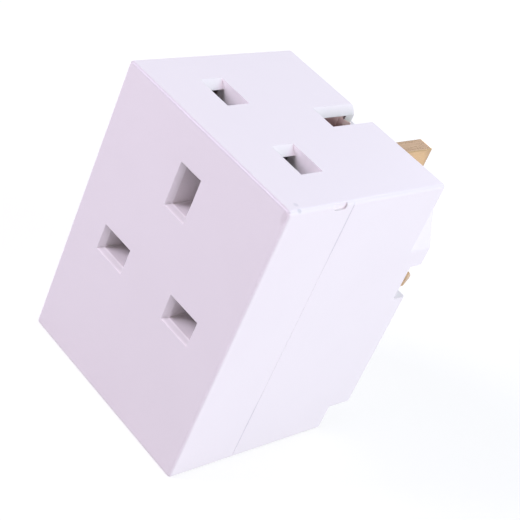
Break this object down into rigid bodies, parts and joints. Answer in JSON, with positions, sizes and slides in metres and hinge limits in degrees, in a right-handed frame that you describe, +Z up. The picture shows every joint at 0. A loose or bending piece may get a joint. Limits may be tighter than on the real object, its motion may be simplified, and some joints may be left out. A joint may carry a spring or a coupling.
{
  "type": "multi socket adapter",
  "caption": "Plug-in block adapter with rectangular-pin outlets on its front, top and underside, plug pins behind and a pull-out fuse carrier between them.",
  "frame": {"origin": "middle of the adapter's box at the level of its flat underside", "axes": "+X across the block to the right as seen from the front outlet, +Y from the front face to the plug pins, +Z up from the underside to the top outlet"},
  "size_m": [0.0488, 0.0716, 0.0661],
  "materials": {
    "white_plastic": "white moulded plastic, satin",
    "pin_brass": "bright brass",
    "strip_brass": "rolled brass strip",
    "spring_bronze": "spring bronze strip",
    "black_sleeve": "black moulded sleeve",
    "fuse_ceramic": "glazed ceramic tube",
    "plated_cap": "nickel plate",
    "screw_steel": "zinc-plated steel"
  },
  "bodies": {
    "adapter": {"front_cover": "white_plastic", "rear_housing": "white_plastic", "earth_pin": "pin_brass", "line_pin": "pin_brass", "neutral_pin": "pin_brass", "line_pin_sleeve": "black_sleeve", "neutral_pin_sleeve": "black_sleeve", "earth_bar": "strip_brass", "line_bar": "strip_brass", "neutral_bar": "strip_brass", "front_earth_jaw": "spring_bronze", "front_line_jaw": "spring_bronze", "front_neutral_jaw": "spring_bronze", "top_earth_jaw": "spring_bronze", "top_line_jaw": "spring_bronze", "top_neutral_jaw": "spring_bronze", "bottom_earth_jaw": "spring_bronze", "bottom_line_jaw": "spring_bronze", "bottom_neutral_jaw": "spring_bronze", "fuse_supply_clip": "spring_bronze", "fuse_outlet_clip": "spring_bronze", "contact_rivets": "strip_brass", "housing_screws": "screw_steel"},
    "fuse_drawer": {"fuse_carrier": "white_plastic", "fuse_tube": "fuse_ceramic", "fuse_end_caps": "plated_cap"}
  },
  "joints": [
    {"name": "fuse_carrier_slide", "type": "slide", "parent": "adapter", "child": "fuse_drawer", "axis": [0, 1, 0], "range_m": [0, 0.012]}
  ]
}
